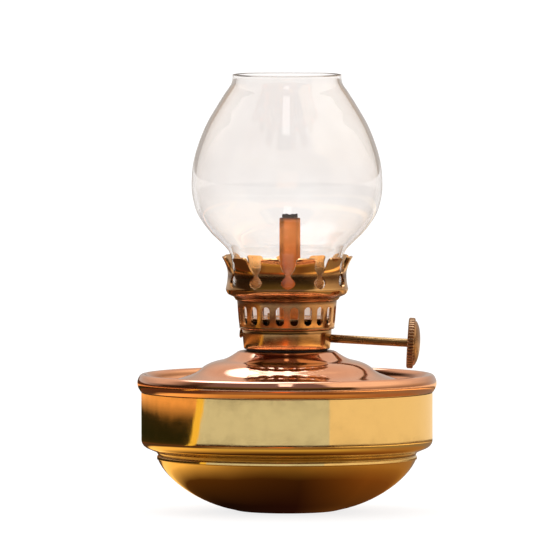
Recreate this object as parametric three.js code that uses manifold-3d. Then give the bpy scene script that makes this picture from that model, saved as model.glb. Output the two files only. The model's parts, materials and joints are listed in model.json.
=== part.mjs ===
// A small open-flame oil lamp: a spun brass font with a copper top, a screw-in flat-wick burner
// and a tulip glass chimney.
// Millimetres, +Z up. The origin is the centre of the flat base, on the lamp's axis, and the
// wick winder's knob points along +X. The front of the lamp is the -Y side.
import * as THREE from "three";
import { mergeVertices } from "three/addons/utils/BufferGeometryUtils.js";
import Module from "manifold-3d";

const wasm = await Module();
wasm.setup();

// ---- Driving dimensions ----
const RIM_DIAMETER = 82.55; // over the copper rim
const LAMP_HEIGHT = 120.65; // base to the chimney's mouth
const SHEET = 0.6; // pressed brass sheet
const GAP = 0.3; // clearance between neighbouring pieces

// Font
const BASE_RADIUS = 11.3; // flat of the base
const BASE_EDGE_RADIUS = 14.8; // where the base's soft edge runs into the bowl
const BASE_EDGE_Z = 0.5;
const BOWL_RADIUS = 35.6;
const BOWL_TOP_Z = 14.4;
const BAND_RADIUS = 40.2;
const BAND_FOOT_Z = 19.9;
const BAND_TOP_Z = 32.9;
const FONT_WALL = 0.8;
const RIM_BOTTOM_Z = 33.05;
const RIM_CREST_Z = 37.9;
const RIM_WALL_GAP = 1.3; // the body's hidden wall stops this far under the crest
const GUTTER_Z = 35.0;
const NECK_Z = 44.4; // top of the copper dome
const NECK_HOLE_RADIUS = 9.95;
const COPPER_SHEET = 0.5;

// Screw fitting between font and burner
const PITCH = 1.5;
const THREAD_DEPTH = 0.75;
const SCREW_RADIUS = 9.4; // over the male thread's crests
const SHELL_BORE = 7.9;
const SHELL_BOTTOM_Z = 39.6;
const THREAD_TOP_Z = 43.9;
const COLLAR_BOTTOM_Z = 38.9;
const COLLAR_TOP_Z = 43.6;
const COLLAR_WALL = 0.9;
const COLLAR_FLANGE_RADIUS = 12;
const WASHER_RADIUS = 11.2;
const SHELL_FLANGE_RADIUS = 10;
const SHELL_FLANGE = 0.5; // thickness of the edge spun over inside the cup
const PLATE_Z = 42.4; // the plate inside the screw shell

// Burner body
const CUP_BOTTOM_Z = 44.8;
const CUP_TOP_Z = 50.3;
const CUP_BOTTOM_RADIUS = 11.3;
const CUP_TOP_RADIUS = 12.3;
const BASKET_TOP_Z = 58.3;
const BASKET_BOTTOM_RADIUS = 12.85;
const BASKET_TOP_RADIUS = 13.75;
const BASKET_FOOT_RADIUS = 11.6; // inner edge of the foot that stands on the cup
const BASKET_TURN_DEG = 1.5; // the bar between two slots, turned from the front towards +X
const DECK_Z = 52.9;
const SLOT_COUNT = 21;
const SLOT_WIDTH = 2.3;
const SLOT_BOTTOM_Z = 51.7;
const SLOT_TOP_Z = 56.9;

// Crown that grips the chimney
const PETAL_COUNT = 11;
const CROWN_TURN_DEG = 2.5; // a gap's centre, turned from the front towards +X
const CROWN_CORNER_Z = 60.05;
const CROWN_TOP_Z = 70.0;
const CROWN_TIP_RADIUS = 18.1;
const GAP_FOOT_Z = 63.6; // the widest part of the gap between two petals
const GAP_FOOT_HALF_WIDTH = 2.05;
const GAP_FOOT_DEPTH = 1.55;
const GAP_SHOULDER_Z = 65.9; // its narrowest part
const GAP_SHOULDER_HALF_WIDTH = 0.65;
const GAP_TIP_HALF_WIDTH = 2.1;
const PETAL_CORNER = 0.85; // radius of a petal's corners

// Wick, its tube and the winder
const TUBE_X = 0.8; // the tube stands a little off the axis
const TUBE_WIDTH = 5.8;
const TUBE_DEPTH = 2.6;
const TUBE_WALL = 0.45;
const TUBE_BOTTOM_Z = 38.5;
const TUBE_TOP_Z = 80.7;
const WICK_WIDTH = 4.3;
const WICK_DEPTH = 1.1;
const WICK_BOTTOM_Z = 12;
const WICK_TOP_Z = 82;
const WHEEL_RADIUS = 2.5;
const WHEEL_TEETH = 10;
const WHEEL_WIDTH = 0.9;
const WHEEL_SPACING = 2.7;
const TOOTH_DEPTH = 0.6;
const HOUSING_BOTTOM_Z = 46.3;
const HOUSING_TOP_Z = 50.9;
const SHAFT_Z = 48.22; // where its centre line crosses the lamp's axis plane
const SHAFT_TILT_DEG = 3.25; // down towards the knob
const SHAFT_RADIUS = 1.15;
const JOURNAL_RADIUS = 1.0; // the thinner half that carries the wheels
const SHAFT_START = -13.2; // distances along the shaft from the lamp's axis
const PEENED_END = -12.5; // the shaft's slightly spread end, outside the cup
const PEENED_RADIUS = 1.25;
const JOURNAL_END = 5.5;
const KNOB_START = 33.25;
const KNOB_SEAT = 1.3; // how far the shaft goes into the knob
const KNOB_RADIUS = 7.0;
const KNOB_RIM = 1.9; // width of the knurled rim
const KNOB_DOME = 1.6; // height of the domed face
const KNOB_GROOVES = 46;
const GROOVE_DEPTH = 0.4;

// Vent tube, from the deck down into the font
const VENT_X = -4.4;
const VENT_Y = -3.4;
const VENT_RADIUS = 0.9;
const VENT_WALL = 0.4;
const VENT_BOTTOM_Z = 40.9;
const VENT_TOP_Z = 54.9;

// Chimney
const GLASS_WALL = 1.1;
const GLASS_FOOT_Z = 60.4;
const GLASS_FOOT_RADIUS = 15.0;
const GLASS_MOUTH_RADIUS = 15.0;

// Facets round each turned piece
const FONT_SEGMENTS = 40;
const GLASS_SEGMENTS = 36;
const BURNER_SEGMENTS = 28;
const SMALL_SEGMENTS = 16;

const SHAFT_Y = WICK_DEPTH / 2 + GAP + WHEEL_RADIUS;
const degrees = THREE.MathUtils.degToRad;

// ---- Shape helpers ----
const point = (r, z) => new THREE.Vector2(r, z);

// A closed mesh with only shared positions, as manifold-3d needs it.
function solidOf(geometry) {
  const bare = geometry.clone();
  bare.deleteAttribute("normal");
  bare.deleteAttribute("uv");
  const merged = mergeVertices(bare, 1e-4);
  return new wasm.Manifold(
    new wasm.Mesh({
      numProp: 3,
      vertProperties: merged.attributes.position.array,
      triVerts: new Uint32Array(merged.index.array),
    }),
  );
}

function geometryOf(solid) {
  const mesh = solid.getMesh();
  const indexed = new THREE.BufferGeometry();
  indexed.setAttribute("position", new THREE.BufferAttribute(mesh.vertProperties, 3));
  indexed.setIndex(new THREE.BufferAttribute(mesh.triVerts, 1));
  const flat = indexed.toNonIndexed();
  flat.computeVertexNormals();
  return flat;
}

// Cuts every tool out of a geometry.
function cut(geometry, tools) {
  const result = tools.reduce((body, tool) => body.subtract(solidOf(tool)), solidOf(geometry));
  return geometryOf(result);
}

const join = (a, b) => geometryOf(solidOf(a).add(solidOf(b)));

// Turns a closed outline of (radius, height) points about Z, faces outwards.
function revolve(outline, segments) {
  const loop = [...outline];
  const startsOnAxis = outline[0].x === 0 && outline.at(-1).x === 0;
  if (!startsOnAxis) loop.push(outline[0].clone());
  if (THREE.ShapeUtils.area(outline) < 0) loop.reverse();
  return new THREE.LatheGeometry(loop, segments).rotateX(Math.PI / 2);
}

// The outline of a sheet: one face follows the line, the other lies to its left by the thickness.
function sheet(line, thickness) {
  const direction = (a, b) => b.clone().sub(a).normalize();
  const other = line.map((p, i) => {
    const into = i > 0 ? direction(line[i - 1], p) : direction(p, line[i + 1]);
    const out = i < line.length - 1 ? direction(p, line[i + 1]) : into;
    const along = into.clone().add(out).normalize();
    const mitre = thickness / Math.max(along.dot(into), 0.5);
    return point(p.x - along.y * mitre, p.y + along.x * mitre);
  });
  return [...line, ...other.reverse()];
}

// A flat ring or disc between two heights.
function ring(inner, outer, low, high, segments) {
  const outline = [point(inner, low), point(outer, low), point(outer, high), point(inner, high)];
  return revolve(outline, segments);
}

// A stadium: a flat oval with straight long sides along X.
function stadium(width, depth) {
  const end = depth / 2;
  const reach = width / 2 - end;
  const shape = new THREE.Shape();
  shape.absarc(reach, 0, end, -Math.PI / 2, Math.PI / 2, false);
  shape.absarc(-reach, 0, end, Math.PI / 2, (3 * Math.PI) / 2, false);
  return shape;
}

// An upright prism of a shape in the XY plane.
function prism(shape, low, high, curveSegments = 4) {
  const options = { depth: high - low, bevelEnabled: false, curveSegments };
  return new THREE.ExtrudeGeometry(shape, options).translate(0, 0, low);
}

// A shape of (across, height) pushed outwards from the axis, to cut a wall at an angle
// counted from the front towards +X.
function wallCutter(shape, inner, outer, angle, curveSegments) {
  return prism(shape, inner, outer, curveSegments).rotateX(Math.PI / 2).rotateZ(angle);
}

// A rod along X of the shaft's frame.
function shaftRod(radius, start, end) {
  return new THREE.CylinderGeometry(radius, radius, end - start, SMALL_SEGMENTS)
    .rotateZ(-Math.PI / 2)
    .translate((start + end) / 2, 0, 0);
}

// Moves a geometry from the shaft's own frame to the lamp's.
function toLamp(geometry) {
  return geometry.rotateY(degrees(SHAFT_TILT_DEG)).translate(0, SHAFT_Y, SHAFT_Z);
}

// Rows of points up a wall that is to be threaded.
function threadRows(radius, low, high) {
  const rows = Math.round(((high - low) / PITCH) * 4);
  return Array.from({ length: rows + 1 }, (_, i) => point(radius, low + ((high - low) * i) / rows));
}

// Raises a right-hand thread from the wall of a turned piece. A crest adds height to the wall's
// radius, and the thread fades out over half a pitch at each end.
function raiseThread(geometry, wallRadius, height, low, high) {
  const position = geometry.attributes.position;
  for (let i = 0; i < position.count; i += 1) {
    const [x, y, z] = [position.getX(i), position.getY(i), position.getZ(i)];
    const radius = Math.hypot(x, y);
    if (Math.abs(radius - wallRadius) > 1e-3 || z < low - 1e-3 || z > high + 1e-3) continue;
    const phase = z / PITCH - Math.atan2(y, x) / (2 * Math.PI);
    const wave = Math.abs(2 * (phase - Math.floor(phase)) - 1);
    const fade = THREE.MathUtils.clamp((2 * Math.min(z - low, high - z)) / PITCH, 0, 1);
    const scale = (radius + height * (height > 0 ? wave : 1 - wave) * fade) / radius;
    position.setXY(i, x * scale, y * scale);
  }
  return geometry;
}

// ---- Materials ----
const metal = (color, roughness) => {
  return new THREE.MeshStandardMaterial({ color, roughness, metalness: 1 });
};
const BRASS = metal(0xd9b266, 0.18);
const BURNER_BRASS = metal(0xb9793c, 0.3);
const COPPER = metal(0xd98f6c, 0.16);
const DARK_BRASS = metal(0x80552c, 0.4);
const KNOB_BRASS = metal(0xa06f46, 0.35);
const SEAL = new THREE.MeshStandardMaterial({ color: 0x1d120c, roughness: 0.8, metalness: 0 });
const COTTON = new THREE.MeshStandardMaterial({ color: 0xe2d8c4, roughness: 0.95, metalness: 0 });
const GLASS = new THREE.MeshStandardMaterial({
  color: 0xf4f2f0,
  roughness: 0.03,
  metalness: 0,
  transparent: true,
  opacity: 0.35,
});

// ---- Font ----
// The spun body: bowl, a small lip, the stepped-out underside and the upright band. Above the
// band the wall steps in, under the copper rim that is rolled over it.
function fontBody() {
  const hiddenRadius = BAND_RADIUS - SHEET;
  const innerRadius = hiddenRadius - SHEET;
  const wallTop = RIM_CREST_Z - RIM_WALL_GAP;
  const outside = new THREE.Path();
  outside.moveTo(0, 0);
  outside.lineTo(BASE_RADIUS, 0);
  outside.quadraticCurveTo(BASE_RADIUS + 1.8, 0, BASE_EDGE_RADIUS, BASE_EDGE_Z);
  outside.bezierCurveTo(25.9, 2.7, 33.8, 9.75, BOWL_RADIUS, BOWL_TOP_Z);
  outside.quadraticCurveTo(BOWL_RADIUS + 0.15, BOWL_TOP_Z + 0.5, BOWL_RADIUS, BOWL_TOP_Z + 0.9);
  outside.quadraticCurveTo(BOWL_RADIUS + 0.2, BOWL_TOP_Z + 2, 36.9, 16.8);
  outside.lineTo(38.6, 17.5);
  outside.quadraticCurveTo(BAND_RADIUS, 18.2, BAND_RADIUS, BAND_FOOT_Z);
  outside.lineTo(BAND_RADIUS, BAND_TOP_Z);
  outside.lineTo(hiddenRadius, BAND_TOP_Z);
  outside.lineTo(hiddenRadius, wallTop);
  const inside = new THREE.Path();
  inside.moveTo(innerRadius, wallTop);
  inside.lineTo(innerRadius, BAND_FOOT_Z);
  inside.lineTo(37.9, 18.3);
  inside.lineTo(BOWL_RADIUS - FONT_WALL, 16.6);
  inside.lineTo(BOWL_RADIUS - FONT_WALL, BOWL_TOP_Z);
  inside.bezierCurveTo(33.2, 10.25, 25.55, 3.4, BASE_EDGE_RADIUS - 0.1, BASE_EDGE_Z + FONT_WALL);
  inside.lineTo(BASE_RADIUS, FONT_WALL);
  inside.lineTo(0, FONT_WALL);
  return revolve([...outside.getPoints(4), ...inside.getPoints(5)], FONT_SEGMENTS);
}

// The pressed top: a flat neck, a dome with one soft shoulder, a gutter and the rolled rim.
function fontTop() {
  const rimRadius = RIM_DIAMETER / 2;
  const top = new THREE.Path();
  top.moveTo(NECK_HOLE_RADIUS, NECK_Z);
  top.lineTo(12.7, NECK_Z);
  top.splineThru([
    point(15.6, 43.0),
    point(18.4, 41.95),
    point(21.6, 40.9),
    point(23.8, 39.7),
    point(25.8, 38.0),
    point(28.4, 37.1),
    point(32.6, 35.8),
    point(36.6, GUTTER_Z),
  ]);
  top.quadraticCurveTo(38.1, GUTTER_Z, 38.25, 36.6);
  top.quadraticCurveTo(38.4, RIM_CREST_Z, 39.6, RIM_CREST_Z);
  top.quadraticCurveTo(rimRadius, RIM_CREST_Z, rimRadius, 35.4);
  top.quadraticCurveTo(rimRadius, 34.1, 40.4, RIM_BOTTOM_Z);
  const line = [];
  top.curves.forEach((curve) => {
    const spline = curve.isSplineCurve;
    const steps = spline ? curve.points.length - 1 : curve.isLineCurve ? 1 : 2;
    line.push(...curve.getPoints(steps).slice(line.length ? 1 : 0));
  });
  return revolve(sheet(line, -COPPER_SHEET), FONT_SEGMENTS);
}

// The tapped collar soldered under the neck, with its flange against the dome.
function fontCollar() {
  const wall = SCREW_RADIUS + GAP;
  const outer = wall + COLLAR_WALL;
  const flangeZ = COLLAR_TOP_Z - SHEET;
  const outline = [
    point(outer, COLLAR_BOTTOM_Z),
    point(outer, flangeZ),
    point(COLLAR_FLANGE_RADIUS, flangeZ),
    point(COLLAR_FLANGE_RADIUS, COLLAR_TOP_Z),
    ...threadRows(wall, COLLAR_BOTTOM_Z, COLLAR_TOP_Z).reverse(),
  ];
  const blank = revolve(outline, BURNER_SEGMENTS);
  return raiseThread(blank, wall, -THREAD_DEPTH, COLLAR_BOTTOM_Z, COLLAR_TOP_Z);
}

// ---- Burner ----
// The male-threaded shell. Its plain neck passes the cup's floor and is spun over inside it.
function screwShell() {
  const root = SCREW_RADIUS - THREAD_DEPTH;
  const floorTop = CUP_BOTTOM_Z + SHEET;
  const flangeTop = floorTop + SHELL_FLANGE;
  const outline = [
    point(SHELL_BORE, SHELL_BOTTOM_Z),
    ...threadRows(root, SHELL_BOTTOM_Z, THREAD_TOP_Z),
    point(root, floorTop),
    point(SHELL_FLANGE_RADIUS, floorTop),
    point(SHELL_FLANGE_RADIUS, flangeTop),
    point(SHELL_BORE, flangeTop),
  ];
  const blank = revolve(outline, BURNER_SEGMENTS);
  return raiseThread(blank, root, THREAD_DEPTH, SHELL_BOTTOM_Z, THREAD_TOP_Z);
}

// A flat plate that the wick tube and the vent tube pass through.
function tubePlate(radius, low) {
  const high = low + SHEET;
  const opening = stadium(TUBE_WIDTH + 2 * GAP, TUBE_DEPTH + 2 * GAP);
  const passage = prism(opening, low - 1, high + 1).translate(TUBE_X, 0, 0);
  const vent = ring(0, VENT_RADIUS + GAP, low - 1, high + 1, SMALL_SEGMENTS);
  vent.translate(VENT_X, VENT_Y, 0);
  return cut(ring(0, radius, low, high, BURNER_SEGMENTS), [passage, vent]);
}

// The lower cup: a rounded foot, a floor round the screw shell and two holes for the shaft.
function burnerCup() {
  const line = [
    point(SCREW_RADIUS - THREAD_DEPTH + GAP, CUP_BOTTOM_Z),
    point(CUP_BOTTOM_RADIUS, CUP_BOTTOM_Z),
    point(11.75, 45.15),
    point(12.0, 46.2),
    point(CUP_TOP_RADIUS, 49.2),
    point(CUP_TOP_RADIUS, CUP_TOP_Z),
  ];
  const reach = CUP_TOP_RADIUS + 3;
  const passages = [
    toLamp(shaftRod(JOURNAL_RADIUS + GAP, -reach, 0)),
    toLamp(shaftRod(SHAFT_RADIUS + GAP, 0, reach)),
  ];
  return cut(revolve(sheet(line, SHEET), BURNER_SEGMENTS), passages);
}

// The slotted air basket, which stands on the cup's edge and flares upwards.
function airBasket() {
  const middle = (BASKET_BOTTOM_RADIUS + BASKET_TOP_RADIUS) / 2;
  const line = [
    point(BASKET_FOOT_RADIUS, CUP_TOP_Z),
    point(BASKET_BOTTOM_RADIUS - 0.2, CUP_TOP_Z),
    point(BASKET_BOTTOM_RADIUS, CUP_TOP_Z + 0.4),
    point(middle, 54.6),
    point(BASKET_TOP_RADIUS, BASKET_TOP_Z - SHEET),
    point(BASKET_TOP_RADIUS, BASKET_TOP_Z),
  ];
  const half = SLOT_WIDTH / 2;
  const slot = new THREE.Shape();
  slot.absarc(0, SLOT_TOP_Z - half, half, 0, Math.PI, false);
  slot.absarc(0, SLOT_BOTTOM_Z + half, half, Math.PI, 2 * Math.PI, false);
  const pitch = (2 * Math.PI) / SLOT_COUNT;
  const cutters = Array.from({ length: SLOT_COUNT }, (_, i) => {
    return wallCutter(slot, CUP_TOP_RADIUS - 2, BASKET_TOP_RADIUS + 2, (i + 0.5) * pitch, 2);
  });
  const basket = cut(revolve(sheet(line, SHEET), SLOT_COUNT), cutters);
  return basket.rotateZ(degrees(BASKET_TURN_DEG));
}

// The gap between two petals, as (across, height): wide and round at its foot, narrow at the
// petals' shoulders, then open to their rounded tips.
function petalGap() {
  const shoulder = GAP_SHOULDER_HALF_WIDTH;
  const tip = GAP_TIP_HALF_WIDTH;
  const cornerZ = CROWN_TOP_Z - PETAL_CORNER;
  const side = (sign, down) => {
    const foot = point(sign * GAP_FOOT_HALF_WIDTH, GAP_FOOT_Z);
    const curves = [
      [foot, point(sign * GAP_FOOT_HALF_WIDTH, GAP_FOOT_Z + 1), point(sign * shoulder, GAP_SHOULDER_Z)],
      [
        point(sign * shoulder, GAP_SHOULDER_Z),
        point(sign * (tip - 0.5), GAP_SHOULDER_Z + 0.9),
        point(sign * tip, cornerZ),
      ],
      [
        point(sign * tip, cornerZ),
        point(sign * (tip + 0.1), CROWN_TOP_Z - 0.1),
        point(sign * (tip + PETAL_CORNER), CROWN_TOP_Z),
      ],
    ];
    const line = curves.flatMap(([a, b, c], i) => {
      return new THREE.QuadraticBezierCurve(a, b, c).getPoints(3).slice(i ? 1 : 0);
    });
    line.push(point(sign * (tip + PETAL_CORNER), CROWN_TOP_Z + 2));
    return down ? line.reverse() : line;
  };
  const foot = new THREE.EllipseCurve(
    0,
    GAP_FOOT_Z,
    GAP_FOOT_HALF_WIDTH,
    GAP_FOOT_DEPTH,
    Math.PI,
    2 * Math.PI,
  );
  return new THREE.Shape([...side(1, false), ...side(-1, true), ...foot.getPoints(6).slice(1, -1)]);
}

// The crown: a ledge for the glass, a corner, and petals that pinch in and flare out again.
function galleryCrown() {
  const line = [
    point(12.0, BASKET_TOP_Z),
    point(BASKET_TOP_RADIUS + 0.2, BASKET_TOP_Z),
    point(14.6, 59.25),
    point(16.7, CROWN_CORNER_Z),
    point(17.1, 61.0),
    point(16.5, 65.6),
    point(17.0, 68.0),
    point(CROWN_TIP_RADIUS, CROWN_TOP_Z),
  ];
  const gap = petalGap();
  const pitch = (2 * Math.PI) / PETAL_COUNT;
  const cutters = Array.from({ length: PETAL_COUNT }, (_, i) => {
    return wallCutter(gap, GLASS_FOOT_RADIUS - 2, CROWN_TIP_RADIUS + 2, i * pitch, 3);
  });
  const crown = cut(revolve(sheet(line, SHEET), 2 * PETAL_COUNT), cutters);
  return crown.rotateZ(degrees(CROWN_TURN_DEG));
}

// The flat wick tube, with a window at the back where the wheels reach the wick.
function wickTube() {
  const shape = stadium(TUBE_WIDTH, TUBE_DEPTH);
  shape.holes.push(stadium(TUBE_WIDTH - 2 * TUBE_WALL, TUBE_DEPTH - 2 * TUBE_WALL));
  const windowWidth = WHEEL_SPACING + WHEEL_WIDTH + 3 * GAP;
  const window = new THREE.BoxGeometry(windowWidth, 2, WHEEL_RADIUS * 1.7);
  window.translate(0, TUBE_DEPTH / 2, SHAFT_Z);
  const tube = cut(prism(shape, TUBE_BOTTOM_Z, TUBE_TOP_Z, 6), [window]);
  return tube.translate(TUBE_X, 0, 0);
}

// The bracket behind the tube that holds the wheels' end of the shaft.
function wheelHousing() {
  const side = TUBE_WIDTH / 2;
  const back = SHAFT_Y + WHEEL_RADIUS + GAP;
  const front = TUBE_DEPTH / 2 + GAP;
  const plan = new THREE.Shape([
    point(-side - SHEET, front),
    point(-side, front),
    point(-side, back),
    point(side, back),
    point(side, front),
    point(side + SHEET, front),
    point(side + SHEET, back + SHEET),
    point(-side - SHEET, back + SHEET),
  ]);
  const bracket = prism(plan, HOUSING_BOTTOM_Z, HOUSING_TOP_Z).translate(TUBE_X, 0, 0);
  return cut(bracket, [toLamp(shaftRod(JOURNAL_RADIUS + GAP, -TUBE_WIDTH, TUBE_WIDTH))]);
}

// ---- Winder, in the shaft's own frame: X along the shaft ----
function winderShaft() {
  const knobSeat = KNOB_START + KNOB_SEAT;
  const outline = [
    point(0, SHAFT_START),
    point(PEENED_RADIUS - 0.25, SHAFT_START),
    point(PEENED_RADIUS, SHAFT_START + 0.25),
    point(PEENED_RADIUS, PEENED_END),
    point(JOURNAL_RADIUS, PEENED_END),
    point(JOURNAL_RADIUS, JOURNAL_END),
    point(SHAFT_RADIUS, JOURNAL_END),
    point(SHAFT_RADIUS, knobSeat),
    point(0, knobSeat),
  ];
  return revolve(outline, SMALL_SEGMENTS).rotateY(Math.PI / 2);
}

// A toothed outline about the origin.
function toothed(count, root, tip, landing) {
  const outline = [];
  for (let i = 0; i < count; i += 1) {
    const step = (2 * Math.PI) / count;
    const angles = [0, landing, 0.5, 0.5 + landing].map((part) => (i + part) * step);
    [tip, tip, root, root].forEach((radius, k) => {
      outline.push(point(radius * Math.cos(angles[k]), radius * Math.sin(angles[k])));
    });
  }
  return new THREE.Shape(outline);
}

function wickWheel(middle) {
  const shape = toothed(WHEEL_TEETH, WHEEL_RADIUS - TOOTH_DEPTH, WHEEL_RADIUS, 0.12);
  const bore = new THREE.Path();
  bore.absarc(0, 0, JOURNAL_RADIUS + GAP, 0, 2 * Math.PI, false);
  shape.holes.push(bore);
  return prism(shape, middle - WHEEL_WIDTH / 2, middle + WHEEL_WIDTH / 2, 8).rotateY(Math.PI / 2);
}

// The thumb knob: a grooved rim, a stepped border and a low dome, bored blind for the shaft.
function thumbKnob() {
  const rimEnd = KNOB_START + KNOB_RIM;
  const edge = toothed(KNOB_GROOVES, KNOB_RADIUS - GROOVE_DEPTH, KNOB_RADIUS, 0.25);
  const rim = prism(edge, KNOB_START, rimEnd);
  const domeRadius = KNOB_RADIUS - 0.9;
  const dome = new THREE.Path();
  dome.moveTo(0, rimEnd - 0.5);
  dome.lineTo(domeRadius, rimEnd - 0.5);
  dome.lineTo(domeRadius, rimEnd + 0.35);
  dome.quadraticCurveTo(4.2, rimEnd + KNOB_DOME, 0, rimEnd + KNOB_DOME);
  const face = revolve(dome.getPoints(5), BURNER_SEGMENTS);
  const boreEnd = KNOB_START + KNOB_SEAT + GAP;
  const bore = ring(0, SHAFT_RADIUS + GAP, KNOB_START - 1, boreEnd, SMALL_SEGMENTS);
  return cut(join(rim, face), [bore]).rotateY(Math.PI / 2);
}

// ---- Chimney ----
function glassChimney() {
  const outline = new THREE.SplineCurve([
    point(GLASS_FOOT_RADIUS, GLASS_FOOT_Z),
    point(GLASS_FOOT_RADIUS, 66.5),
    point(16.1, 71.6),
    point(18.3, 74.3),
    point(22.1, 78.1),
    point(25.3, 83.6),
    point(26.35, 90.5),
    point(25.4, 98.2),
    point(22.4, 106.3),
    point(18.2, 113.5),
    point(15.5, 117.6),
    point(GLASS_MOUTH_RADIUS, LAMP_HEIGHT),
  ]);
  return revolve(sheet(outline.getPoints(14), GLASS_WALL), GLASS_SEGMENTS);
}

// ---- Assembly ----
const lamp = new THREE.Group();

function place(parent, name, geometry, material) {
  const mesh = new THREE.Mesh(geometry, material);
  mesh.name = name;
  parent.add(mesh);
  return mesh;
}

place(lamp, "font_body", fontBody(), BRASS);
place(lamp, "font_top", fontTop(), COPPER);
place(lamp, "font_collar", fontCollar(), BURNER_BRASS);

const washerBore = SCREW_RADIUS + GAP;
const washer = ring(washerBore, WASHER_RADIUS, NECK_Z, CUP_BOTTOM_Z, BURNER_SEGMENTS);
place(lamp, "burner_washer", washer, SEAL);

place(lamp, "screw_shell", screwShell(), BURNER_BRASS);
place(lamp, "burner_plate", tubePlate(SHELL_BORE - GAP, PLATE_Z), BURNER_BRASS);
place(lamp, "burner_cup", burnerCup(), BURNER_BRASS);
place(lamp, "air_deck", tubePlate(BASKET_BOTTOM_RADIUS - SHEET - GAP, DECK_Z), BURNER_BRASS);
place(lamp, "air_basket", airBasket(), BURNER_BRASS);
place(lamp, "gallery_crown", galleryCrown(), BURNER_BRASS);
place(lamp, "wick_tube", wickTube(), COPPER);
place(lamp, "wheel_housing", wheelHousing(), BURNER_BRASS);
const vent = ring(VENT_RADIUS - VENT_WALL, VENT_RADIUS, VENT_BOTTOM_Z, VENT_TOP_Z, SMALL_SEGMENTS);
place(lamp, "vent_tube", vent, BURNER_BRASS).position.set(VENT_X, VENT_Y, 0);

const winder = new THREE.Group();
winder.position.set(0, SHAFT_Y, SHAFT_Z);
winder.rotation.y = degrees(SHAFT_TILT_DEG);
lamp.add(winder);
place(winder, "winder_shaft", winderShaft(), DARK_BRASS);
place(winder, "wick_wheel_left", wickWheel(TUBE_X - WHEEL_SPACING / 2), DARK_BRASS);
place(winder, "wick_wheel_right", wickWheel(TUBE_X + WHEEL_SPACING / 2), DARK_BRASS);
place(winder, "thumb_knob", thumbKnob(), KNOB_BRASS);

const wick = prism(stadium(WICK_WIDTH, WICK_DEPTH), WICK_BOTTOM_Z, WICK_TOP_Z);
place(lamp, "wick", wick, COTTON).position.set(TUBE_X, 0, 0);
place(lamp, "glass_chimney", glassChimney(), GLASS);

export default lamp;
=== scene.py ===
"""A small brass and copper flat-wick oil lamp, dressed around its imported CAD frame.

Outlines are in millimetres, as (radius, height) from the lamp's axis and its base.
"""

import itertools
import json
import math
import random

import bmesh
import bpy
from mathutils import Matrix, Vector, noise

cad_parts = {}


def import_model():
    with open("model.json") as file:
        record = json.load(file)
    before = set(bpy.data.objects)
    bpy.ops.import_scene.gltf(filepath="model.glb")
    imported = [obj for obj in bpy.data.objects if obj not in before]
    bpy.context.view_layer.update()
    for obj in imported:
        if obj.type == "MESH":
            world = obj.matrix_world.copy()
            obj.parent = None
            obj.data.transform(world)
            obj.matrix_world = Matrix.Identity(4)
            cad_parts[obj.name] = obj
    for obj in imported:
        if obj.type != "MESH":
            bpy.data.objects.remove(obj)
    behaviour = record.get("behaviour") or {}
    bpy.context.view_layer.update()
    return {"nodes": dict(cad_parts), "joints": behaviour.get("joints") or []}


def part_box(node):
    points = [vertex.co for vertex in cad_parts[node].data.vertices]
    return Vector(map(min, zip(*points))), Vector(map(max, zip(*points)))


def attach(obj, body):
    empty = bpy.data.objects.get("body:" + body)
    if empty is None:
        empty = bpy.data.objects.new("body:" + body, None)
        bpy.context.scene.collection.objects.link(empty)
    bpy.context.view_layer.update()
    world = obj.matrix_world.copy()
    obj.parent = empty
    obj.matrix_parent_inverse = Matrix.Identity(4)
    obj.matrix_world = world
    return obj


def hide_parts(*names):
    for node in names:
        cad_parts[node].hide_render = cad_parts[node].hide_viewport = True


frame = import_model()

MM = 0.001
TAU = 2 * math.pi
random.seed(7)


# ---- Driving sizes: millimetres, from the frame where the frame has them ----
X, Y, Z = 0, 1, 2


def span(node, axis):
    """The lowest and the highest place of a node on an axis."""
    return tuple(corner[axis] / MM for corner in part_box(node)[:2])


def high(node, axis):
    return span(node, axis)[1]


def middle(node, axis):
    return sum(span(node, axis)) / 2


def extent(node, axis):
    return span(node, axis)[1] - span(node, axis)[0]


RIM_R = high("font_top", X)
BAND_R = high("font_body", X)
CUP_LOW, CUP_HIGH = span("burner_cup", Z)
CUP_R = 12.3
BASKET_LOW, BASKET_HIGH = span("air_basket", Z)
BASKET_R = 13.75
BASKET_FOOT_R = 12.85
CROWN_HIGH = high("gallery_crown", Z)
GLASS_LOW, GLASS_HIGH = span("glass_chimney", Z)
TUBE_X = middle("wick_tube", X)
TUBE_WIDTH, TUBE_DEPTH = extent("wick_tube", X), extent("wick_tube", Y)
WICK_LOW, WICK_HIGH = span("wick", Z)
WICK_WIDTH, WICK_DEPTH = extent("wick", X), extent("wick", Y)

JOINTS = {joint["name"]: joint for joint in frame["joints"]}
SHAFT_AXIS = -Vector(JOINTS["winder_turn"]["axis"])  # towards the knob
SHAFT_POINT = Vector(JOINTS["winder_turn"]["pos_m"]) / MM
ON_SHAFT = Matrix.Translation(SHAFT_POINT) @ SHAFT_AXIS.to_track_quat("Z", "Y").to_matrix().to_4x4()
ON_VENT = Matrix.Translation((middle("vent_tube", X), middle("vent_tube", Y), 0))

SHEET = 0.6
GAP = 0.3
PITCH = 1.5  # of the screw thread
THREAD_DEPTH = 0.75
SCREW_R = 9.4
SHELL_BORE = 7.9
THREAD_TOP = 43.9
SHAFT_R = 1.15
JOURNAL_R = 1.0
SHAFT_START = -13.2
PEENED_END = -12.5
PEENED_R = 1.25
JOURNAL_END = 5.5
KNOB_START = 33.25
KNOB_SEAT = 1.3
KNOB_R = 7.0
WHEEL_R = 2.5
WHEEL_WIDTH = 0.9
WHEEL_SPACING = 2.7
VENT_R = 0.9
SLOTS = 21
SLOT_LOW, SLOT_HIGH = 51.7, 56.9
SLOT_WIDTH = 2.3
CELL_LOW, CELL_HIGH = 51.2, 57.4
PETALS = 11
BASKET_TURN = math.radians(1.5)
CROWN_TURN = math.radians(2.5)


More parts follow.
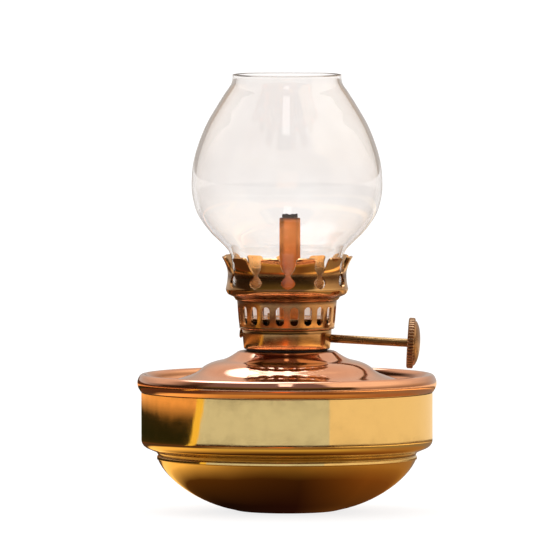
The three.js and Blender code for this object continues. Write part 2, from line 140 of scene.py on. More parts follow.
# ---- Outlines ----
def bezier(points, steps):
    """Points along a Bezier curve of any degree, without its first point."""
    degree = len(points) - 1
    made = []
    for i in range(1, steps + 1):
        t = i / steps
        weights = [math.comb(degree, k) * t**k * (1 - t) ** (degree - k) for k in range(degree + 1)]
        made.append(tuple(sum(w * p[axis] for w, p in zip(weights, points)) for axis in (0, 1)))
    return made


def spline(points, steps):
    """A Catmull-Rom curve through the points, without its first point."""
    padded = [points[0], *points, points[-1]]
    made = []
    for a, b, c, d in zip(padded, padded[1:], padded[2:], padded[3:]):
        for i in range(1, steps + 1):
            t = i / steps
            made.append(tuple(
                0.5 * (2 * b[k] + (c[k] - a[k]) * t + (2 * a[k] - 5 * b[k] + 4 * c[k] - d[k]) * t**2
                       + (3 * b[k] - a[k] - 3 * c[k] + d[k]) * t**3)
                for k in (0, 1)))
    return made


def trace(start, *steps, fine=8):
    """A line made of straight, bend (Bezier) and spline steps. A step of one point is straight."""
    line = [start]
    for step in steps:
        if step[0] == "bend":
            line += bezier([line[-1], *step[1:]], fine)
        elif step[0] == "spline":
            line += spline([line[-1], *step[1:]], fine)
        else:
            line.append(step)
    return line


def offset(line, thickness):
    """The line moved to its left by the thickness."""
    made = []
    for i, point in enumerate(line):
        before = Vector(point) - Vector(line[i - 1]) if i else Vector(line[1]) - Vector(point)
        after = Vector(line[i + 1]) - Vector(point) if i < len(line) - 1 else before
        before = before.normalized()
        along = (before + after.normalized()).normalized()
        reach = thickness / max(along.dot(before), 0.5)
        made.append((point[0] - along.y * reach, point[1] + along.x * reach))
    return made


def sheet(line, thickness, edge=3):
    """The closed outline of a sheet on the line's left, with its two cut edges rounded."""
    other = offset(line, thickness)[::-1]
    rounding = abs(thickness) * 0.3
    tail = (Vector(line[-1]) - Vector(line[-2])).normalized() * rounding
    head = (Vector(line[0]) - Vector(line[1])).normalized() * rounding

    def shortened(line, start, end):
        return [tuple(Vector(line[0]) - start), *line[1:-1], tuple(Vector(line[-1]) - end)]

    def cap(a, b, out):
        centre, half = (Vector(a) + Vector(b)) / 2, (Vector(b) - Vector(a)) / 2
        angles = [math.pi * i / (edge + 1) for i in range(1, edge + 1)]
        return [tuple(centre - half * math.cos(t) + out * math.sin(t)) for t in angles]

    line, other = shortened(line, head, tail), shortened(other, tail, head)
    return [*line, *cap(line[-1], other[0], tail), *other, *cap(other[-1], line[0], head)]


# ---- Meshes ----
def polar(radius, angle, z):
    """A point at an angle round from the front, towards +X."""
    return radius * math.sin(angle), -radius * math.cos(angle), z


def linked(name, data):
    """A new object in the scene."""
    made = bpy.data.objects.new(name, data)
    bpy.context.scene.collection.objects.link(made)
    return made


def new_mesh(name, *makers):
    """A mesh that the makers fill, each given the bmesh in turn."""
    made = bmesh.new()
    for maker in makers:
        maker(made)
    mesh = bpy.data.meshes.new(name)
    made.to_mesh(mesh)
    made.free()
    return mesh


def to_metres(target):
    """Joins what meets, turns the faces outwards and scales millimetres to metres."""
    bmesh.ops.remove_doubles(target, verts=target.verts, dist=1e-4)
    bmesh.ops.recalc_face_normals(target, faces=target.faces)
    for vertex in target.verts:
        vertex.co *= MM


def new_piece(node, maker, smooth_deg=35, kind="skin"):
    """An object named after its node. The maker fills its mesh, in millimetres, and it is smooth
    up to an angle."""
    name = f"{node}_{kind}"
    mesh = new_mesh(name, maker, to_metres)
    mesh.polygons.foreach_set("use_smooth", [True] * len(mesh.polygons))
    mesh.set_sharp_from_angle(angle=math.radians(smooth_deg))
    return linked(name, mesh)


def quads(a, b, closed=True):
    """The corners of the faces between two rings or open rows, which may share corners."""
    for i in range(len(a) if closed else len(a) - 1):
        k = (i + 1) % len(a)
        corners = list(dict.fromkeys([a[i], a[k], b[k], b[i]]))
        if len(corners) > 2:
            yield corners


def join(target, *rings, closed=True):
    """Adds the faces between each ring and the next."""
    for a, b in zip(rings, rings[1:]):
        for corners in quads(a, b, closed):
            target.faces.new(corners)


def turned(outline, segments, shape=None):
    """A mesh maker that turns a closed outline about Z. shape(angle, radius, z) may change them."""

    def make(target):
        rings = []
        for radius, height in outline:
            if radius == 0:
                rings.append([target.verts.new((0, 0, height))] * segments)
                continue
            ring = []
            for i in range(segments):
                angle = TAU * i / segments
                r, z = shape(angle, radius, height) if shape else (radius, height)
                ring.append(target.verts.new(polar(r, angle, z)))
            rings.append(ring)
        join(target, *rings, rings[0])

    return make


def thick(outer, inner, faces):
    """A mesh maker for a skin with two sides, joined by walls round every open edge."""

    def make(target):
        front = [target.verts.new(p) for p in outer]
        back = [target.verts.new(p) for p in inner]
        uses = {}
        for face in faces:
            target.faces.new([front[i] for i in face])
            target.faces.new([back[i] for i in reversed(face)])
            for a, b in zip(face, face[1:] + face[:1]):
                uses.setdefault(frozenset((a, b)), []).append((a, b))
        for edges in uses.values():
            if len(edges) == 1:
                a, b = edges[0]
                target.faces.new([front[b], front[a], back[a], back[b]])

    return make


def rod(radius, start, end):
    """The outline of a solid rod."""
    return [(0, start), (radius, start), (radius, end), (0, end)]


def placed(maker, matrix):
    """A mesh maker whose result is moved by a matrix, in millimetres."""

    def make(target):
        maker(target)
        bmesh.ops.transform(target, matrix=matrix, verts=target.verts)

    return make


def bevel(piece, width, segments=2, angle_deg=40):
    modifier = piece.modifiers.new("edges", "BEVEL")
    modifier.width = width * MM
    modifier.segments = segments
    modifier.limit_method = "ANGLE"
    modifier.angle_limit = math.radians(angle_deg)
    return piece


def carve(piece, *makers):
    """Cuts the shapes that the makers build out of the piece, and keeps only the result."""
    cutters = [new_piece("cutter", maker) for maker in makers]
    for cutter in cutters:
        modifier = piece.modifiers.new("cut", "BOOLEAN")
        modifier.operation = "DIFFERENCE"
        modifier.solver = "EXACT"
        modifier.object = cutter
    graph = bpy.context.evaluated_depsgraph_get()
    result = bpy.data.meshes.new_from_object(piece.evaluated_get(graph))
    piece.modifiers.clear()
    piece.data = result
    for cutter in cutters:
        bpy.data.objects.remove(cutter)
    return piece


def install(piece, body, material, slot):
    """Gives a piece its material and body, and hides the CAD node it stands for. The slot is not
    used.
    """
    piece.data.materials.clear()
    piece.data.materials.append(material)
    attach(piece, body)
    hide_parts(piece.name.rpartition("_")[0])


# ---- Material tools ----
class Nodes:
    """Short ways to add shader nodes to one material, or to the world."""

    def __init__(self, owner):
        owner.use_nodes = True
        self.owner = owner
        self.tree = owner.node_tree
        self.tree.nodes.clear()

    def add(self, kind, settings=None, **sockets):
        made = self.tree.nodes.new("ShaderNode" + kind)
        for key, value in (settings or {}).items():
            setattr(made, key, value)
        for key, value in sockets.items():
            self.feed(made, key.replace("_", " "), value)
        return made

    def feed(self, made, socket, value):
        target = made.inputs[int(socket)] if socket.isdigit() else made.inputs[socket]
        if isinstance(value, bpy.types.NodeSocket):
            self.tree.links.new(value, target)
        else:
            target.default_value = value

    def math(self, operation, a, b=0.0, clamp=False):
        made = self.add("Math", {"operation": operation, "use_clamp": clamp})
        self.feed(made, "0", a)
        self.feed(made, "1", b)
        return made.outputs[0]

    def times(self, a, b):
        return self.math("MULTIPLY", a, b)

    def scaled(self, value, factor, plus):
        """value * factor + plus."""
        made = self.math("MULTIPLY_ADD", value, factor)
        self.feed(made.node, "2", plus)
        return made

    def vector(self, operation, a, b=(0, 0, 0)):
        made = self.add("VectorMath", {"operation": operation})
        self.feed(made, "0", a)
        self.feed(made, "1", b)
        return made.outputs["Vector" if operation == "MULTIPLY" else "Value"]

    def noise(self, vector, scale, detail=3.0, roughness=0.55):
        made = self.add("TexNoise", Vector=vector, Scale=scale, Detail=detail, Roughness=roughness)
        return made.outputs["Fac"]

    def ramp(self, value, *stops):
        """Linear colour stops of (position, grey or rgb)."""
        made = self.add("ValToRGB", Fac=value)
        elements = made.color_ramp.elements
        while len(elements) < len(stops):
            elements.new(0.5)
        for element, (position, colour) in zip(elements, stops):
            element.position = position
            rgb = colour if isinstance(colour, tuple) else (colour,) * 3
            element.color = (*rgb, 1)
        return made.outputs["Color"]

    def spread(self, value, whole, *stops):
        """A ramp with its stops in degrees, over a whole range of degrees with 0 in its middle."""
        return self.ramp(value, *((0.5 + degrees / whole, colour) for degrees, colour in stops))

    def mix(self, factor, a, b):
        made = self.add("Mix", {"data_type": "RGBA"})
        self.feed(made, "0", factor)
        for socket, value in (("6", a), ("7", b)):
            self.feed(made, socket, (*value, 1) if isinstance(value, tuple) else value)
        return made.outputs[2]

    def place(self):
        """The point on the piece, its distance from the lamp's axis and its height, in metres."""
        position = self.add("TexCoord").outputs["Object"]
        x, y, z = self.add("SeparateXYZ", Vector=position).outputs
        squares = self.math("ADD", self.times(x, x), self.times(y, y))
        return position, self.math("SQRT", squares), z

    def azimuth(self, x, y):
        """The direction round the lamp: 0.5 is the front, and a turn towards +X adds 1."""
        return self.scaled(self.math("ARCTAN2", x, self.times(y, -1.0)), 1 / TAU, 0.5)

    def bump(self, height, strength, distance, normal=None):
        made = self.add("Bump", Height=height, Strength=strength, Distance=distance)
        if normal:
            self.feed(made, "Normal", normal)
        return made.outputs[0]

    def finish(self, shader):
        is_world = isinstance(self.owner, bpy.types.World)
        output = self.add("OutputWorld" if is_world else "OutputMaterial")
        self.feed(output, "Surface", shader.outputs[0])
        return self.owner


def new_nodes(name):
    return Nodes(bpy.data.materials.new(name))


def dirt_and_shade_band(n, height, smears, middle_mm, half_mm):
    """A ragged dark band about a height: dirt along a real joint, and painted shade where the band
    lies under a ledge or in a hollow.
    """
    away = n.math("ABSOLUTE", n.math("SUBTRACT", height, middle_mm * MM))
    ragged = n.scaled(smears, 0.6 * half_mm * MM, away)
    return n.ramp(n.times(ragged, 1 / (2 * half_mm * MM)), (0.2, 0.85), (0.65, 0.0))


def faces_inwards(n, position):
    """1 on the faces that look towards the lamp's axis."""
    flat = n.vector("MULTIPLY", position, (1.0, 1.0, 0.0))
    facing = n.vector("DOT_PRODUCT", flat, n.add("NewGeometry").outputs["Normal"])
    return n.math("LESS_THAN", facing, -0.0036)


def metal(name, colour, tarnish, roughness, spin=0.5, patina=0.3, haze=0.5, dent=0.1, dirt_and_shade_heights=(),
          lining=None, painted_flame_glow=0.0):
    """Sheet metal: turning marks, drifting tarnish with specks, hazy smears, a faint unevenness,
    dark bands about heights (height and half width, mm), which are dirt at real joints and painted
    shade under ledges and in hollows, and a lining on the faces that look inwards: its colour,
    lighter than the metal as painted light, the height (mm) where it starts, with painted shade
    below, and how much of a metal it is. A glow on the lining is painted light from the flame."""
    # The dark colour below a lining's height is painted shade.
    fine_rings, painted_shade_below = 2600, (0.012, 0.008, 0.006)
    n = new_nodes(name)
    position, radius, height = n.place()
    rings = n.add("CombineXYZ", X=n.times(radius, fine_rings),
                  Y=n.times(height, fine_rings))
    marks = n.noise(rings.outputs[0], 1.0, 4, 0.7)
    clouds = n.noise(position, 70, 4, 0.6)
    smears = n.noise(position, 260, 5, 0.65)
    grain = n.noise(position, 2400, 3, 0.6)
    stain = n.times(n.ramp(clouds, (0.35, 0.0), (0.72, 1.0)), patina)
    speck = n.times(n.ramp(grain, (0.62, 0.0), (0.8, 1.0)), 0.25 * patina)
    tinted = n.mix(speck, n.mix(stain, colour, tarnish), tarnish)
    rough = n.scaled(n.ramp(smears, (0.4, 0.0), (0.75, 1.0)), haze * 0.16, roughness)
    rough = n.scaled(marks, 0.05 * spin, rough)
    # Dark bands: dirt at real joints, painted shade under ledges and in hollows.
    for dark_band in dirt_and_shade_heights:
        dirt_and_shade_mask = dirt_and_shade_band(n, height, smears, *dark_band)
        tinted = n.mix(dirt_and_shade_mask, tinted, tuple(0.35 * part for part in tarnish))
        rough = n.scaled(dirt_and_shade_mask, 0.2, rough)
    metallic, painted_glow_mask = 1.0, 0.0
    # The lining's lighter colour on the inner faces is painted light.
    if lining:
        lining_colour_painted_light, inside_from, inside_metal = lining
        inner = faces_inwards(n, position)
        upper = n.math("GREATER_THAN", height, inside_from * MM)
        inside = n.mix(n.times(clouds, 0.5), n.mix(upper, painted_shade_below, lining_colour_painted_light),
                       (0.02, 0.01, 0.01))
        tinted = n.mix(inner, tinted, inside)
        rough = n.scaled(inner, 0.15, rough)
        metallic = n.scaled(inner, inside_metal - 1, 1.0)
        painted_glow_mask = n.times(n.times(inner, upper), painted_flame_glow)
    spun = n.bump(marks, 0.12 * spin, 0.00002)
    uneven = n.bump(n.noise(position, 45, 2, 0.5), dent, 0.0006, spun)
    shader = n.add("BsdfPrincipled", Base_Color=tinted, Metallic=metallic, Roughness=rough,
                   Normal=uneven)
    # A glow on the lining: painted light from the flame, though the lining is no lamp.
    if painted_flame_glow:
        n.feed(shader, "Emission Color", tinted)
        n.feed(shader, "Emission Strength", painted_glow_mask)
    return n.finish(shader)


def seal_material():
    n = new_nodes("seal")
    grain = n.noise(n.add("TexCoord").outputs["Object"], 1800, 4)
    colour = n.mix(grain, (0.016, 0.008, 0.005), (0.05, 0.03, 0.02))
    return n.finish(n.add("BsdfPrincipled", Base_Color=colour, Roughness=n.scaled(grain, 0.3, 0.5),
                          Normal=n.bump(grain, 0.4, 0.0001)))


def cotton_material():
    """Woven cotton, cream below, scorched brown and then black at the burnt tip."""
    char_from, char_reach = (WICK_HIGH - 2.2) * MM, 2.6 * MM
    n = new_nodes("cotton")
    position, _, height = n.place()
    weave = n.noise(position, 3000, 3)
    ragged = n.scaled(n.noise(position, 1500, 3), 0.0009, height)
    burnt = n.math("MULTIPLY", n.math("SUBTRACT", ragged, char_from), 1 / char_reach, True)
    colour = n.ramp(burnt, (0.0, (0.74, 0.66, 0.52)), (0.35, (0.42, 0.26, 0.13)),
                    (0.62, (0.06, 0.035, 0.02)), (1.0, (0.012, 0.012, 0.014)))
    colour = n.mix(n.ramp(weave, (0.3, 0.55), (0.7, 1.0)), (0, 0, 0), colour)
    return n.finish(n.add("BsdfPrincipled", Base_Color=colour, Roughness=0.95, Sheen_Weight=0.25,
                          Normal=n.bump(weave, 0.5, 0.0002)))


def glass_material():
    """Blown glass, faintly smoked by the flame, its grey mottle partly a painted reflection of the
    room, with its two cut edges a little frosted.
    """
    n = new_nodes("clear_glass")
    position, _, height = n.place()
    # The grey mottle is soot haze and a painted reflection of the room.
    smoke_and_painted_reflection = n.ramp(n.noise(position, 34, 3, 0.5), (0.38, 0.0), (0.66, 1.0))
    tint = n.mix(smoke_and_painted_reflection, (0.965, 0.95, 0.94), (0.91, 0.885, 0.87))
    frosting = 0.3
    from_middle = n.math("ABSOLUTE", n.math("SUBTRACT", height, middle("glass_chimney", Z) * MM))
    edge = n.math("GREATER_THAN", from_middle, (extent("glass_chimney", Z) / 2 - frosting) * MM)
    colour = n.mix(edge, tint, (0.8, 0.79, 0.78))
    return n.finish(n.add("BsdfPrincipled", Base_Color=colour, Roughness=n.times(edge, 0.25),
                          IOR=1.46, Transmission_Weight=1.0))


# The band at 32.95 mm is dirt at the joint under the rim; the band at 15.8 mm is painted shade in the
# groove under the lip.
FONT_BRASS = metal(
    "font_brass", (0.84, 0.66, 0.32), (0.66, 0.42, 0.14), 0.05, spin=0.3, patina=0.08, haze=0.3,
    dent=0.03, dirt_and_shade_heights=((32.95, 0.12), (15.8, 0.5)))
COPPER = metal("copper", (0.91, 0.51, 0.34), (0.5, 0.22, 0.16), 0.07, haze=0.4, dent=0.08,
               dirt_and_shade_heights=((44.4, 0.4), (33.0, 0.15)))
BURNER_BRASS = metal("burner_brass", (0.76, 0.48, 0.23), (0.36, 0.15, 0.06), 0.1, spin=0.8,
                     patina=0.45, dirt_and_shade_heights=((44.9, 0.4), (50.4, 0.2)))
# Both dark bands are painted shade: under the crown's corner, and at the petals' waist. The lighter
# lining on the inner faces is painted light.
CROWN_BRASS = metal(
    "crown_brass", (0.76, 0.48, 0.23), (0.36, 0.15, 0.06), 0.08, spin=0.35, patina=0.45, haze=0.4,
    dirt_and_shade_heights=((59.35, 1.1), (65.0, 1.9)), lining=((0.98, 0.66, 0.36), 58.0, 1.0))
# The band at 50.3 mm is dirt at the joint with the cup; the one at 58.3 mm is a dark joint with
# painted shade under the crown's ledge. The pale lining and its glow are painted light from the
# flame, and the lining's dark colour below 53.5 mm is painted shade under the air deck.
BASKET_BRASS = metal(
    "basket_brass", (0.74, 0.46, 0.24), (0.36, 0.16, 0.08), 0.12, spin=0.8, patina=0.55, haze=0.6,
    dirt_and_shade_heights=((50.3, 0.2), (58.3, 1.0)), lining=((1.0, 0.86, 0.78), 53.5, 0.1), painted_flame_glow=0.55)
TUBE_COPPER = metal("tube_copper", (0.92, 0.34, 0.1), (0.42, 0.15, 0.09), 0.25, spin=1.2,
                    patina=0.6, haze=0.8, dirt_and_shade_heights=((80.7, 0.5),))
SHAFT_BRASS = metal("shaft_brass", (0.44, 0.28, 0.12), (0.14, 0.07, 0.03), 0.22, spin=0.6,
                    patina=0.7, haze=0.9)
KNOB_BRASS = metal("knob_brass", (0.6, 0.37, 0.2), (0.2, 0.09, 0.04), 0.26, patina=0.7, haze=0.9)
SEAL = seal_material()
COTTON = cotton_material()
GLASS = glass_material()


# ---- Font ----
def font_body():
    """Spun brass: bowl, a small lip, the stepped underside, the upright band, and the wall that
    runs on under the copper rim. The band is very slightly uneven, as spun sheet is."""
    wall_top = high("font_body", Z)
    hidden = BAND_R - SHEET  # the outside of the wall under the rim
    lining = hidden - SHEET
    hidden_from = 32.7
    outside = trace(
        (0, 0), (10, 0), (11.3, 0),
        ("bend", (13.1, 0), (14.8, 0.5)),
        ("bend", (25.9, 2.7), (33.8, 9.75), (35.6, 14.3)),
        ("bend", (35.8, 14.35), (35.864, 14.5)),
        (35.863, 14.56), (35.86, 14.8), (35.857, 15.04), (35.856, 15.1),
        ("bend", (35.8, 15.3), (35.62, 15.35)),
        ("bend", (35.45, 15.5), (35.72, 16.0)),
        ("bend", (36.0, 16.5), (36.9, 16.8)),
        (38.5, 17.45),
        ("bend", (BAND_R, 18.2), (BAND_R, 19.9)),
        *((BAND_R, z) for z in (20.6, 23, 26, 29, 32.2, 32.8)),
        (BAND_R - 0.12, 32.9), (hidden, 32.9), (hidden, wall_top),
        fine=14,
    )
    inside = trace(
        (lining, wall_top), (lining, 19.9),
        ("bend", (lining, 18.6), (37.9, 18.1)),
        (36.2, 17.4),
        ("bend", (34.8, 17.0), (34.8, 15.6)),
        (34.8, 14.4),
        ("bend", (33.2, 10.25), (25.55, 3.4), (14.7, 1.3)),
        (11.3, 0.8), (0, 0.8),
    )

    def uneven(angle, radius, z):
        under_rim = radius < hidden + 0.1 and z > hidden_from
        if under_rim or radius < BAND_R - 3:
            return radius, z
        place = Vector((BAND_R * math.cos(angle), BAND_R * math.sin(angle), z * 0.9))
        return radius - 0.02 * (1 + noise.noise(place / 9)), z

    return new_piece("font_body", turned(outside + inside, 256, uneven))


def font_top():
    """Pressed copper: neck, dome with one soft shoulder, gutter and the rolled rim."""
    rim_low, neck = span("font_top", Z)
    crest = 37.9
    line = trace(
        (9.95, neck), (12.0, neck),
        ("bend", (12.9, neck), (13.6, 44.1)),
        ("spline", (15.5, 42.85), (17.4, 41.95), (19.8, 41.35), (21.5, 40.75), (23.0, 39.9),
         (24.4, 38.75), (25.9, 37.9), (28.4, 37.05), (32.6, 35.8), (36.0, 35.05)),
        ("bend", (38.1, 34.8), (38.25, 36.4)),
        ("bend", (38.4, crest), (39.6, crest)),
        ("bend", (40.5, crest), (40.95, 36.8)),
        ("bend", (RIM_R + 0.02, 36.2), (RIM_R, 35.4)),
        ("bend", (RIM_R, 34.3), (40.7, 33.6)),
        (40.4, rim_low),
    )
    return new_piece("font_top", turned(sheet(line, -0.5), 192))


def thread_shape(wall, height, start, end):
    """A right-hand thread raised from a wall, with flats, that fades over its last half turns."""
    flank = 1.25

    def shape(angle, radius, z):
        if abs(radius - wall) > 1e-6 or not start <= z <= end:
            return radius, z
        phase = z / PITCH - (angle - math.pi / 2) / TAU
        wave = abs(2 * (phase - math.floor(phase)) - 1)
        wave = min(max(wave * flank - (flank - 1) / 2, 0), 1)
        fade = min(1, 2 * min(z - start, end - z) / PITCH)
        return radius + height * (wave if height > 0 else 1 - wave) * fade, z

    return shape


def thread_rows(radius, start, end):
    rows_per_turn = 14
    rows = round((end - start) / PITCH * rows_per_turn)
    return [(radius, start + (end - start) * i / rows) for i in range(rows + 1)]


def font_collar():
    wall = SCREW_R + GAP
    base, top = span("font_collar", Z)
    flange = top - SHEET
    outline = [
        (10.6, base), (10.6, flange), (11.9, flange), (12.0, flange + 0.1), (12.0, top - 0.1),
        (11.9, top), *reversed(thread_rows(wall, base, top)),
    ]
    shape = thread_shape(wall, -THREAD_DEPTH, base, top)
    return new_piece("font_collar", turned(outline, 120, shape))


# ---- Burner ----
def burner_washer():
    inner, outer = SCREW_R + GAP, high("burner_washer", X)
    base, top = span("burner_washer", Z)
    soft = 0.1
    outline = [
        (inner, base + soft), (inner + soft, base), (outer - soft, base), (outer, base + soft),
        (outer, top - soft), (outer - soft, top), (inner + soft, top), (inner, top - soft),
    ]
    return new_piece("burner_washer", turned(outline, 96))


def screw_shell():
    root = SCREW_R - THREAD_DEPTH
    base, cup_floor = span("screw_shell", Z)[0], CUP_LOW + SHEET
    outline = [
        (SHELL_BORE, base), *thread_rows(root, base, THREAD_TOP),
        (root, cup_floor), (9.9, cup_floor), (10.0, cup_floor + 0.1), (10.0, cup_floor + 0.4),
        (9.9, cup_floor + 0.5), (SHELL_BORE, cup_floor + 0.5),
    ]
    shape = thread_shape(root, THREAD_DEPTH, base, THREAD_TOP)
    return new_piece("screw_shell", turned(outline, 120, shape))


def burner_cup():
    line = trace(
        (SCREW_R - THREAD_DEPTH + GAP, CUP_LOW), (10.4, CUP_LOW), (11.2, CUP_LOW),
        ("bend", (11.82, CUP_LOW), (11.92, CUP_LOW + 0.4)),
        (12.05, 46.6),
        (CUP_R, 49.2), (CUP_R, CUP_HIGH - 0.05),
    )
    piece = new_piece("burner_cup", turned(sheet(line, SHEET), 160))
    inside, outside = 8, 15  # the cup's wall lies between these along the shaft
    holes = rod(JOURNAL_R + GAP, -outside, -inside), rod(SHAFT_R + GAP, inside, outside)
    return carve(piece, *(placed(turned(hole, 40), ON_SHAFT) for hole in holes))


def stadium_line(half_width, half_height, steps):
    """Points round an upright slot with round ends, from its lowest point, anticlockwise."""
    straight = half_height - half_width
    made = []
    for i in range(steps):
        angle = -math.pi / 2 + TAU * i / steps
        shift = straight if 0 < angle < math.pi - 1e-9 else -straight
        if abs(math.sin(angle)) < 1e-9:
            shift = 0
        made.append((half_width * math.cos(angle), half_width * math.sin(angle) + shift))
    return made


def basket_wall(z):
    """The basket's outer radius at a height: a flare, with a bead rolled round its foot."""
    share = (z - BASKET_LOW) / (BASKET_HIGH - BASKET_LOW)
    bead = 0.14 * math.exp(-(((z - BASKET_LOW - 0.35) / 0.22) ** 2))
    return BASKET_FOOT_R + (BASKET_R - BASKET_FOOT_R) * share**0.55 + bead


def slot_loops(centre, half_angle, steps):
    """Loops of (angle, height) round one slot, from its cell's edge to the slot itself. They all
    run anticlockwise from the middle of the foot in the same number of steps."""
    per_side = steps // 4
    middle_z = (SLOT_LOW + SLOT_HIGH) / 2
    cell = CELL_HIGH - CELL_LOW
    edge = []
    for i in range(steps):
        side, k = divmod((i + per_side // 2) % steps, per_side)
        t = k / per_side
        across, up = (
            (2 * t - 1, CELL_LOW), (1, CELL_LOW + cell * t),
            (1 - 2 * t, CELL_HIGH), (-1, CELL_HIGH - cell * t),
        )[side]
        edge.append((centre + across * half_angle, up))
    loops = [edge]
    hole = stadium_line(SLOT_WIDTH / 2, (SLOT_HIGH - SLOT_LOW) / 2, steps)
    for share in (0.45, 0.8, 1.0):
        loop = []
        for (angle, z), (across, up) in zip(edge, hole):
            to_angle, to_z = centre + across / basket_wall(middle_z), middle_z + up
            loop.append((angle + (to_angle - angle) * share, z + (to_z - z) * share))
        loops.append(loop)
    return loops


def air_basket():
    """A flared, slotted collar whose foot is turned in over the cup's edge. A height of 0 to 3
    stands for a row of the turned-in foot."""
    steps, pitch = 32, TAU / SLOTS
    foot = [  # (radius, height above the foot) outside and inside
        ((11.7, 0), (11.7, SHEET)), ((12.2, 0), (12.0, SHEET)),
        ((12.6, 0.03), (12.1, SHEET + 0.04)), ((12.8, 0.14), (12.2, SHEET + 0.1)),
    ]
    foot_rows = [*range(len(foot)), *(BASKET_LOW + up for up in (0.25, 0.4, 0.6)), CELL_LOW]
    top_rows = [CELL_HIGH, 57.8, 58.1, BASKET_HIGH]
    flat, faces, index = [], [], {}

    def vertex(angle, z):
        key = (round(angle % TAU, 6) % round(TAU, 6), round(z, 4))
        if key not in index:
            index[key] = len(flat)
            flat.append((angle, z))
        return index[key]

    def skin_point(angle, z, side):
        if z < len(foot):
            radius, up = foot[z][side]
            return polar(radius, angle, BASKET_LOW + up)
        if side == 0:
            return polar(basket_wall(z), angle, z)
        return polar(basket_wall(z) - SHEET, angle, max(z, BASKET_LOW + SHEET + 0.2))

    for s in range(SLOTS):
        centre = (s + 0.5) * pitch + BASKET_TURN
        loops = slot_loops(centre, pitch / 2, steps)
        for a, b in zip(loops, loops[1:]):
            faces += [[vertex(*corner) for corner in face] for face in quads(a, b)]
        columns = [centre + (8 * k / steps - 1) * pitch / 2 for k in range(steps // 4 + 1)]
        for rows in (foot_rows, top_rows):
            for z0, z1 in zip(rows, rows[1:]):
                for a0, a1 in zip(columns, columns[1:]):
                    faces.append([vertex(a0, z0), vertex(a1, z0), vertex(a1, z1), vertex(a0, z1)])
    outer, inner = ([skin_point(angle, z, side) for angle, z in flat] for side in (0, 1))
    return bevel(new_piece("air_basket", thick(outer, inner, faces)), 0.09)


def petal_gap(z):
    """Half the gap between two petals at a height: a round foot, narrow shoulders, and rounded
    corners where it opens."""
    foot_z, shoulder_z, corner = 63.6, 65.9, 1.1
    wide, narrow, tip = 2.0, 0.65, 2.2
    depth = 1.55
    if z <= foot_z - depth:
        return 0.0
    if z < foot_z:
        return wide * math.sqrt(1 - ((foot_z - z) / depth) ** 2)
    if z < shoulder_z:
        t = (z - foot_z) / (shoulder_z - foot_z)
        return wide + (narrow - wide) * t * t * (3 - 2 * t)
    corner_z = CROWN_HIGH - corner
    if z < corner_z:
        t = (z - shoulder_z) / (corner_z - shoulder_z)
        return narrow + (tip - narrow) * math.sin(t * math.pi / 2) ** 0.8
    t = (z - corner_z) / corner
    return tip + corner * (1 - math.sqrt(max(1 - t * t, 0)))


def petal_r(z):
    """The petals' outer radius at a height: curved in to the waist, then out to the tip."""
    waist_z, waist_r = 65.4, 16.4
    if z < waist_z:
        return waist_r + 0.034 * (waist_z - z) ** 2
    return waist_r + 0.102 * (z - waist_z) ** 1.8


def crown_line():
    """The crown's outer line: a ledge for the glass, a corner, and the petals."""
    turn_z, rows = 61.8, 44
    line = trace(
        (12.0, BASKET_HIGH), (BASKET_R, BASKET_HIGH),
        ("bend", (14.3, BASKET_HIGH), (14.6, 59.25)),
        (15.8, 59.75),
        ("bend", (16.35, 60.0), (16.55, 60.4)),
        (16.86, 61.15),
        ("bend", (17.0, 61.45), (petal_r(turn_z), turn_z)),
        fine=7,
    )
    for i in range(1, rows + 1):
        z = turn_z + (CROWN_HIGH - turn_z) * math.sin(math.pi / 2 * i / rows)
        line.append((petal_r(z), z))
    return line


def gallery_crown():
    """A ring with petals, each bent by hand a little further in or out than the next."""
    line = crown_line()
    columns, bent_from = 12, 63
    lean = [random.uniform(-0.16, 0.16) for _ in range(PETALS)]
    outer, inner, faces, grid = [], [], [], {}
    for row, ((r, z), (r_in, z_in)) in enumerate(zip(line, offset(line, SHEET))):
        half = math.pi * r / PETALS - petal_gap(z)
        joined = petal_gap(z) == 0
        rise = max(z - bent_from, 0) / (CROWN_HIGH - bent_from)
        for petal in range(PETALS):
            centre = CROWN_TURN + (petal + 0.5) * TAU / PETALS
            bent = lean[petal] * rise
            for k in range(columns if joined else columns + 1):
                angle = centre + (2 * k / columns - 1) * half / r
                grid[row, petal, k] = len(outer)
                outer.append(polar(r + bent, angle, z))
                inner.append(polar(r_in + bent, angle, z_in))
        if joined:
            for petal in range(PETALS):
                grid[row, petal, columns] = grid[row, (petal + 1) % PETALS, 0]
    for row, petal, k in itertools.product(range(len(line) - 1), range(PETALS), range(columns)):
        faces.append([grid[row, petal, k], grid[row, petal, k + 1],
                      grid[row + 1, petal, k + 1], grid[row + 1, petal, k]])
    return bevel(new_piece("gallery_crown", thick(outer, inner, faces), 50), 0.08, 2, 50)


def stadium_section(width, depth, steps):
    """Points round a flat oval, as (x, y) from its centre."""
    flat_steps = 6
    end = depth / 2
    reach = width / 2 - end
    made = []
    for side in (1, -1):
        for i in range(steps + 1):
            angle = -math.pi / 2 * side + math.pi * i / steps
            made.append((side * reach + end * math.cos(angle), end * math.sin(angle)))
        for i in range(1, flat_steps):
            made.append((side * (reach - 2 * reach * i / flat_steps), side * end))
    return made


